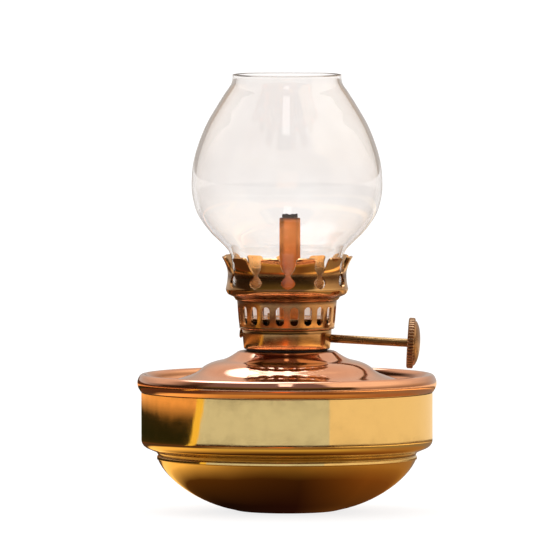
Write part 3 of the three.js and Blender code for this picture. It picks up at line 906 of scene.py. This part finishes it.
def wick_tube():
    """A flat oval tube, open at both ends, with a window for the wheels in its back."""
    wall, window_half, window_width = 0.45, 2.1, 4.4
    shape = stadium_section(TUBE_WIDTH, TUBE_DEPTH, 10)
    bore = stadium_section(TUBE_WIDTH - 2 * wall, TUBE_DEPTH - 2 * wall, 10)
    base, top = span("wick_tube", Z)
    window_low, window_high = SHAFT_POINT.z - window_half, SHAFT_POINT.z + window_half
    rows = [base, base + 0.2, 42, window_low, 47, 49, window_high, 54, 60, 66, 70, 74, 78,
            top - 0.5, top - 0.15, top]
    outer, inner, faces = [], [], []
    for z in rows:
        lip = 0.06 if z > top - 0.3 else 0.0
        outer += [(TUBE_X + x * (1 - lip * 0.3), y * (1 - lip), z) for x, y in shape]
        inner += [(TUBE_X + x, y, z) for x, y in bore]

    def in_window(i, k):
        across = abs(shape[i][0] + shape[k][0]) / 2
        return min(shape[i][1], shape[k][1]) > 0.8 and across < window_width / 2

    count = len(shape)
    for row, (z0, z1) in enumerate(zip(rows, rows[1:])):
        at_window = z0 >= window_low and z1 <= window_high
        for i in range(count):
            k = (i + 1) % count
            if not (at_window and in_window(i, k)):
                here, above = row * count, (row + 1) * count
                faces.append([here + i, here + k, above + k, above + i])
    return bevel(new_piece("wick_tube", thick(outer, inner, faces)), 0.08)


def tube_hole(low_z, high_z):
    """A mesh maker for the passage that a plate leaves for the wick tube."""

    def make(target):
        shape = stadium_section(TUBE_WIDTH + 2 * GAP, TUBE_DEPTH + 2 * GAP, 12)
        under, over = ([target.verts.new((TUBE_X + x, y, z)) for x, y in shape]
                       for z in (low_z, high_z))
        target.faces.new(under[::-1])
        target.faces.new(over)
        join(target, under, over)

    return make


def plate(node):
    """A pressed plate with a shallow groove inside its edge, and passages for the two tubes."""
    radius, base, past = high(node, X), span(node, Z)[0], 1
    top = base + SHEET
    outline = [(0, base), (radius - 0.1, base), (radius, base + 0.1), (radius, top - 0.1),
               (radius - 0.1, top), (radius - 1.2, top), (radius - 1.5, top - 0.12),
               (radius - 1.8, top), (0, top)]
    vent_hole = placed(turned(rod(VENT_R + GAP, base - past, top + past), 32), ON_VENT)
    return carve(new_piece(node, turned(outline, 96)), tube_hole(base - past, top + past), vent_hole)


def vent_tube():
    base, top = span("vent_tube", Z)
    bore = 0.5
    outline = [(bore, base), (VENT_R - 0.08, base), (VENT_R, base + 0.08), (VENT_R, top - 0.08),
               (VENT_R - 0.08, top), (bore, top)]
    return new_piece("vent_tube", placed(turned(outline, 32), ON_VENT))


# ---- Winder ----
def winder_shaft():
    """A thin journal with its end spread, a thicker shank, and the stub inside the knob."""
    seat = KNOB_START + KNOB_SEAT
    outline = [
        (0, SHAFT_START), (PEENED_R - 0.5, SHAFT_START), (PEENED_R - 0.15, SHAFT_START + 0.1),
        (PEENED_R, SHAFT_START + 0.3), (PEENED_R, PEENED_END - 0.1), (PEENED_R - 0.1, PEENED_END),
        (JOURNAL_R, PEENED_END), (JOURNAL_R, JOURNAL_END), (SHAFT_R - 0.05, JOURNAL_END),
        (SHAFT_R, JOURNAL_END + 0.1), (SHAFT_R, seat), (0, seat),
    ]
    return new_piece("winder_shaft", placed(turned(outline, 48), ON_SHAFT))


def thumb_knob():
    """A grooved rim, a plain border and a low dome outside; inside, a dished face and a boss."""
    grooves, per_groove = 46, 8
    groove_depth, groove_foot = 0.42, 6.6
    rim, bore = 1.9, SHAFT_R + GAP
    outline = trace(
        (0, 1.6), (bore, 1.6), (bore, 0.1), (bore + 0.1, 0), (2.6, 0), (2.8, 0.25), (5.6, 0.25),
        (5.9, 0), (6.45, 0), (6.8, 0.12), (KNOB_R, 0.32), (KNOB_R, 0.7), (KNOB_R, rim - 0.6),
        (KNOB_R, rim - 0.3), (6.8, rim - 0.08), (6.45, rim), (6.2, rim + 0.02), (6.1, rim + 0.3),
        ("bend", (4.6, rim + 1.45), (1.8, rim + 1.58), (0, rim + 1.6)),
    )

    def shape(angle, radius, z):
        if radius < groove_foot + 0.1:
            return radius, z
        t = (angle * grooves / TAU) % 1
        depth = groove_depth * max(0, 1 - abs(t - 0.5) / 0.27)
        return radius - depth * min(1, (radius - groove_foot) / 0.35), z

    outline = [(radius, z + KNOB_START) for radius, z in outline]
    maker = turned(outline, grooves * per_groove, shape)
    return new_piece("thumb_knob", placed(maker, ON_SHAFT), 30)


def wick_wheel(which, side):
    """A toothed wheel on the shaft, to one side of the tube's middle."""
    teeth, tooth_depth = 10, 0.6
    centre = TUBE_X + side * WHEEL_SPACING / 2

    def shape(angle, radius, z):
        if radius < WHEEL_R - 0.1:
            return radius, z
        t = (angle * teeth / TAU) % 1
        return radius - tooth_depth * min(1, abs(t - 0.5) / 0.38) ** 0.8, z

    start, end = centre - WHEEL_WIDTH / 2, centre + WHEEL_WIDTH / 2
    bore = JOURNAL_R + GAP
    outline = [(bore, start), (WHEEL_R - 0.7, start), (WHEEL_R, start + 0.08),
               (WHEEL_R, end - 0.08), (WHEEL_R - 0.7, end), (bore, end)]
    maker = placed(turned(outline, teeth * 12, shape), ON_SHAFT)
    return new_piece(f"wick_wheel_{which}", maker, 30)


# ---- Wick and chimney ----
def wick_point(turn, share):
    """A point on the plait. Its yarns run slantwise, and the top frays."""
    yarns, slant, fray_length = 9, 5.2, 0.015
    z = WICK_LOW + (WICK_HIGH - WICK_LOW) * share
    across, through = math.cos(turn), math.sin(turn)
    squareness = 1 / max(abs(across), abs(through)) ** 0.75
    x = across * squareness * WICK_WIDTH / 2
    y = through * squareness * WICK_DEPTH / 2
    plait = math.sin(x / WICK_WIDTH * yarns * TAU + math.copysign(z * slant, through))
    swell = 1 - 0.1 * (0.5 + 0.5 * plait)
    x = max(min(x, WICK_WIDTH / 2), -WICK_WIDTH / 2)
    frayed = (share - (1 - fray_length)) / fray_length
    if frayed > 0:
        ragged = 0.5 * noise.noise(Vector((x * 2.1, y * 3.0, 4.0)))
        z = min(z + frayed * ragged - 0.2, WICK_HIGH)
    return TUBE_X + x, y * swell, z


def wick():
    """A flat plait of cotton yarns, frayed where it burns."""
    columns, rows, hollow = 56, 420, 0.35

    def make(target):
        rings = [[target.verts.new(wick_point(TAU * i / columns, j / rows)) for i in range(columns)]
                 for j in range(rows + 1)]
        join(target, *rings)
        target.faces.new(rings[0][::-1])
        centre = target.verts.new((TUBE_X, 0, WICK_HIGH - hollow))
        join(target, rings[-1], [centre] * columns)

    return new_piece("wick", make, 60, "cotton")


def glass_chimney():
    """Blown glass: a plain foot, a waist, the round belly, sloping shoulders and an upright neck,
    with fire-polished edges. It is very slightly out of round."""
    wall = 1.1
    line = trace(
        (15.0, GLASS_LOW + 0.1), (15.0, 63.5), (15.0, 66.0),
        ("spline", (15.35, 69.5), (16.2, 72.0), (18.2, 74.2), (21.5, 77.5), (24.7, 82.2),
         (26.1, 87.2), (26.3, 91.5), (25.8, 96.4), (24.4, 101.4), (22.3, 106.6), (19.7, 111.2),
         (17.2, 115.2), (15.5, 117.7), (15.05, 119.2), (15.0, GLASS_HIGH)),
        fine=7,
    )

    def uneven(angle, radius, z):
        ripple = noise.noise(Vector((math.cos(angle) * 1.3, math.sin(angle) * 1.3, z * 0.05)))
        return radius * (1 + 0.0015 * ripple), z

    outline = sheet(line, wall, edge=5)
    return new_piece("glass_chimney", turned(outline, 160, uneven), 60)


# ---- Pieces on their bodies ----
BURNER = ("burner", BURNER_BRASS, "burner_brass")
WINDER = ("winder", SHAFT_BRASS, "shaft_brass")
install(font_body(), "font", FONT_BRASS, "font_brass")
install(font_top(), "font", COPPER, "copper")
install(font_collar(), "font", BURNER_BRASS, "burner_brass")
install(burner_washer(), "seal", SEAL, "seal")
install(screw_shell(), *BURNER)
install(plate("burner_plate"), *BURNER)
install(burner_cup(), *BURNER)
install(plate("air_deck"), *BURNER)
install(air_basket(), "burner", BASKET_BRASS, "burner_brass")
install(gallery_crown(), "burner", CROWN_BRASS, "burner_brass")
install(wick_tube(), "burner", TUBE_COPPER, "tube_copper")
install(vent_tube(), *BURNER)
install(winder_shaft(), *WINDER)
install(wick_wheel("left", -1), *WINDER)
install(wick_wheel("right", 1), *WINDER)
install(thumb_knob(), "winder", KNOB_BRASS, "knob_brass")
install(wick(), "wick", COTTON, "cotton")
install(glass_chimney(), "chimney", GLASS, "clear_glass")

housing = frame["nodes"]["wheel_housing"]
housing.data.materials.clear()
housing.data.materials.append(BURNER_BRASS)
bevel(housing, 0.1)


# ---- Stage, in metres ----
SCREEN_TOP = 0.045


def towards(azimuth, elevation):
    """A direction, from degrees round from the front to +X and degrees up."""
    turn, tilt = math.radians(azimuth), math.radians(elevation)
    return Vector((math.sin(turn) * math.cos(tilt), -math.cos(turn) * math.cos(tilt), math.sin(tilt)))


def camera():
    """A long lens, a little above the lamp and a touch round towards the knob."""
    distance = 5.0
    field_width = 0.1517  # what the picture takes in, at the lamp
    aim, back = Vector((-0.0033, 0, 0.0652)), towards(1.5, 2.8)
    data = bpy.data.cameras.new("camera")
    data.sensor_width = 36
    data.lens = data.sensor_width * distance / field_width
    data.clip_end = 100
    made = linked("camera", data)
    made.location = aim + back * distance
    made.rotation_mode = "QUATERNION"
    made.rotation_quaternion = (-back).to_track_quat("-Z", "Y")
    bpy.context.scene.camera = made


def stage_piece(name, maker, material, only_mirrored):
    """A stage object. It is seen either in the metal alone or everywhere but there."""
    piece = linked(name, new_mesh(name, maker))
    piece.data.materials.append(material)
    piece.visible_glossy = only_mirrored
    for ray in ("camera", "diffuse", "transmission", "shadow"):
        setattr(piece, "visible_" + ray, not only_mirrored)


def disc(radius, height):
    def make(target):
        place = Matrix.Translation((0, 0, height))
        bmesh.ops.create_circle(target, cap_ends=True, radius=radius, segments=96, matrix=place)

    return make


def floor():
    """A pale floor, with a glow of its own that keeps the lamp's shadow on it soft."""
    n = new_nodes("floor")
    mottle = n.noise(n.add("TexCoord").outputs["Object"], 30)
    colour = n.mix(mottle, (0.22, 0.22, 0.22), (0.25, 0.25, 0.25))
    shader = n.add("BsdfPrincipled", Base_Color=colour, Roughness=0.8,
                   Emission_Color=(1, 1, 1, 1), Emission_Strength=0.81)
    stage_piece("floor", disc(12, 0), n.finish(shader), False)


def glow(name, *stops):
    """A glowing material: one colour, or (height, colour) stops from the ground up."""
    n = new_nodes(name)
    if len(stops) == 1:
        return n.finish(n.add("Emission", Color=(*stops[0], 1)))
    position, _, height = n.place()
    share = n.times(n.scaled(n.noise(position, 40, 2), 0.0015, height), 1 / SCREEN_TOP)
    colour = n.ramp(share, *((z / SCREEN_TOP, stop) for z, stop in stops))
    return n.finish(n.add("Emission", Color=colour))


def screen(name, radius, start, end, high_z, *stops, lean=0.0, sway=0.0):
    """A glowing screen on an arc round the lamp, from one azimuth to another (degrees). It may
    lean along the arc, and its sides may sway like a curtain's."""
    columns = max(4, round(abs(end - start) / 1.5))
    rows = 24

    def grid(target):
        levels = []
        for j in range(rows + 1):
            up = j / rows
            shift = lean * up + sway * (math.sin(j * 1.1) + 0.6 * math.sin(j * 2.7))
            turns = [start + (end - start) * i / columns + shift for i in range(columns + 1)]
            foot = Vector((0, 0, high_z * up))
            levels.append([target.verts.new(towards(turn, 0) * radius + foot) for turn in turns])
        join(target, *levels, closed=False)

    stage_piece(name, grid, glow(name, *stops), True)


def screens():
    """What the upright band mirrors: a pale wall in front, a warm one to the right, and to the
    left a dark table edge under an orange wall, with a bright strip of curtain beside it."""
    far, near = 0.34, 0.19
    orange = (1.1, 0.46, 0.14)
    screen("screen_front", far, -78, 33, 0.0185, (0.77, 0.73, 0.64))
    screen("screen_right", far, 33, 180, 0.024, (1.04, 0.78, 0.49))
    screen("screen_left", near, -200, -79, SCREEN_TOP,
           (0.0, (0.1, 0.05, 0.012)), (0.0125, (0.02, 0.018, 0.005)), (0.0185, (0.03, 0.02, 0.006)),
           (0.0205, (0.5, 0.22, 0.065)), (0.023, orange), (0.0255, orange),
           (0.0268, (0.1, 0.04, 0.015)), lean=24)
    screen("screen_curtain", near - 0.002, -80, -73.5, 0.0265, (1.12, 0.68, 0.1), lean=15, sway=0.45)


def table():
    """What the bowl mirrors: a table top in rings, each with its colours by azimuth, which meet
    behind the lamp. Its dark middle is a painted shadow of the lamp on the table."""
    n = new_nodes("table")
    position = n.add("TexCoord").outputs["Object"]
    x, y, _ = n.add("SeparateXYZ", Vector=position).outputs
    around = n.azimuth(x, y)
    away = n.scaled(n.noise(position, 30, 2), 0.006, n.vector("LENGTH", position))
    gold, brown, dark = (0.72, 0.43, 0.1), (0.42, 0.2, 0.065), (0.1, 0.045, 0.02)
    amber, bright, ember = (0.36, 0.2, 0.07), (1.2, 0.66, 0.17), (1.8, 0.4, 0.07)
    # The first two rings, dark near the lamp's foot, are a painted shadow of the lamp.
    rings = (
        (0.000, (-60, (0.012, 0.004, 0.002)), (10, (0.02, 0.005, 0.003)), (60, (0.09, 0.03, 0.006))),
        (0.03, (-60, (0.1, 0.035, 0.006)), (10, (0.05, 0.016, 0.004)), (60, (0.22, 0.07, 0.012))),
        (0.045, (-80, bright), (-25, (0.4, 0.2, 0.045)), (0, (0.34, 0.17, 0.035)),
         (60, (0.42, 0.18, 0.035))),
        (0.056, (-110, (1.4, 0.8, 0.24)), (-70, bright), (-40, gold), (30, gold), (70, brown),
         (140, brown)),
        (0.08, (-60, dark), (-40, amber), (-10, amber), (30, (0.22, 0.1, 0.03)),
         (75, (0.36, 0.24, 0.1)), (150, (0.3, 0.2, 0.14))),
        (0.172, (-70, (0.18, 0.045, 0.015)), (-30, (0.32, 0.1, 0.025)), (-12, (0.7, 0.18, 0.04)),
         (-4, ember), (1, ember), (8, (0.65, 0.27, 0.11)), (28, (0.45, 0.24, 0.09)),
         (42, (1.39, 0.84, 0.31)), (60, (2.2, 1.35, 0.48)), (110, (2.0, 1.2, 0.45)),
         (150, (0.4, 0.25, 0.14))),
        (0.224, (-70, (0.08, 0.028, 0.012)), (20, (0.14, 0.06, 0.02)), (80, (0.5, 0.3, 0.14))),
        (0.26, (-70, (0.035, 0.012, 0.006)), (40, (0.05, 0.02, 0.008)), (90, (0.26, 0.15, 0.07))),
    )
    table_r, blend_width, back = 0.4, 0.016, 158
    # The starting dark colour, the table under the lamp, is painted shadow too.
    shade = (0.03, 0.012, 0.004)
    for start, *stops in rings:
        first, last = stops[0][1], stops[-1][1]
        meet = tuple((a + b) / 2 for a, b in zip(first, last))
        ring = n.spread(around, 360, (-180, meet), (-back, first), *stops, (back, last), (180, meet))
        past = n.math("SUBTRACT", away, start - blend_width / 2)
        shade = n.mix(n.math("MULTIPLY", past, 1 / blend_width, True), shade, ring)
    stage_piece("table", disc(table_r, -0.0005), n.finish(n.add("Emission", Color=shade)), True)


def room(n, rise, around):
    """What the metal mirrors: a room, dim in front and to the left, light elsewhere, with the
    colours of each side by elevation."""
    mauve, pale, dim = (0.22, 0.155, 0.15), (0.82, 0.63, 0.49), (0.5, 0.4, 0.34)
    black, umber, buff = (0.03, 0.018, 0.008), (0.1, 0.05, 0.02), (0.4, 0.28, 0.18)
    front = n.spread(rise, 180, (-25, umber), (-6, black), (9, black), (16, (0.09, 0.065, 0.02)),
                     (24, (0.16, 0.12, 0.035)), (30, mauve), (64, mauve), (90, dim))
    right = n.spread(rise, 180, (-25, (0.4, 0.24, 0.1)), (-4, buff), (6, buff),
                     (14, (0.66, 0.5, 0.32)), (30, (1.15, 0.95, 0.68)), (60, (1.15, 0.98, 0.74)),
                     (90, dim))
    left = n.spread(rise, 180, (-25, (0.08, 0.03, 0.01)), (0, (0.02, 0.01, 0.004)),
                    (30, (0.05, 0.025, 0.012)), (50, (0.2, 0.13, 0.09)), (90, dim))
    back = n.spread(rise, 180, (-8, (0.58, 0.53, 0.48)), (7, (0.54, 0.49, 0.45)),
                    (13, (0.56, 0.46, 0.38)), (26, (0.78, 0.62, 0.5)), (77, pale), (86, dim))
    made = n.mix(n.spread(around, 360, (-76, 0.0), (-68, 1.0)), left, front)
    turn_right = n.spread(rise, 180, (24, 0.65), (32, 0.6))
    past = n.math("SUBTRACT", around, turn_right)
    made = n.mix(n.math("MULTIPLY", past, 360 / 8, True), made, right)
    behind = n.math("ABSOLUTE", n.math("SUBTRACT", around, 0.525))
    behind = n.math("SUBTRACT", behind, n.spread(rise, 180, (9, 0.06), (20, 0.0)))
    return n.mix(n.ramp(behind, (0.27, 0.0), (0.36, 1.0)), made, back)


def lamp_patch(n, direction):
    """A round lamp high up behind on the left, whose streak the dome mirrors."""
    facing = n.vector("DOT_PRODUCT", direction, towards(-140, 70))
    edge, full = math.cos(math.radians(27)), math.cos(math.radians(20))
    return n.ramp(facing, (edge, 0.0), (full, 1.0))


def world():
    """White where it is seen, and the room where it is mirrored. Metal behind the glass mirrors a
    window too, and metal behind both of its walls a glow."""
    n = Nodes(bpy.data.worlds.new("studio"))
    direction = n.add("TexCoord").outputs["Generated"]
    x, y, z = n.add("SeparateXYZ", Vector=direction).outputs
    around = n.azimuth(x, y)
    rise = n.scaled(n.math("ARCSINE", z), 1 / math.pi, 0.5)
    colour = n.mix(lamp_patch(n, direction), room(n, rise, around), (3.4, 3.6, 3.9))

    lights = n.add("LightPath").outputs
    across = n.spread(around, 360, (-12, 0.0), (-8, 1.0), (14, 1.0), (18, 0.0))
    up = n.spread(rise, 180, (-14, 0.0), (-9, 1.0), (10, 1.0), (15, 0.0))
    in_glass = n.math("GREATER_THAN", lights["Transmission Depth"], 1.5)
    window = n.times(n.times(across, up), in_glass)
    colour = n.mix(window, colour, (1.15, 0.7, 0.42))
    far_side = n.math("GREATER_THAN", lights["Transmission Depth"], 5.5)
    upward = n.spread(rise, 180, (22, 0.0), (38, 1.0))
    colour = n.mix(n.times(far_side, upward), colour, (2.6, 1.8, 1.0))
    warm, plain = n.add("Background", Color=colour), n.add("Background", Color=(1, 1, 1, 1))
    both = n.add("MixShader", Fac=n.math("LESS_THAN", lights["Glossy Depth"], 0.5))
    n.feed(both, "1", warm.outputs[0])
    n.feed(both, "2", plain.outputs[0])
    bpy.context.scene.world = n.finish(both)


def softbox():
    """One tall soft light, high in front, whose streak shows on the chimney's shoulder."""
    data = bpy.data.lights.new("softbox", "AREA")
    data.shape = "RECTANGLE"
    data.size, data.size_y = 0.16, 0.4
    data.energy = 0.35
    made = linked("softbox", data)
    made.location = (0.0, -0.62, 0.95)
    made.rotation_mode = "QUATERNION"
    made.rotation_quaternion = (Vector((0, 0, 0.08)) - made.location).to_track_quat("-Z", "Y")


camera()
floor()
screens()
table()
world()
softbox()
bpy.context.scene.view_settings.view_transform = "Standard"
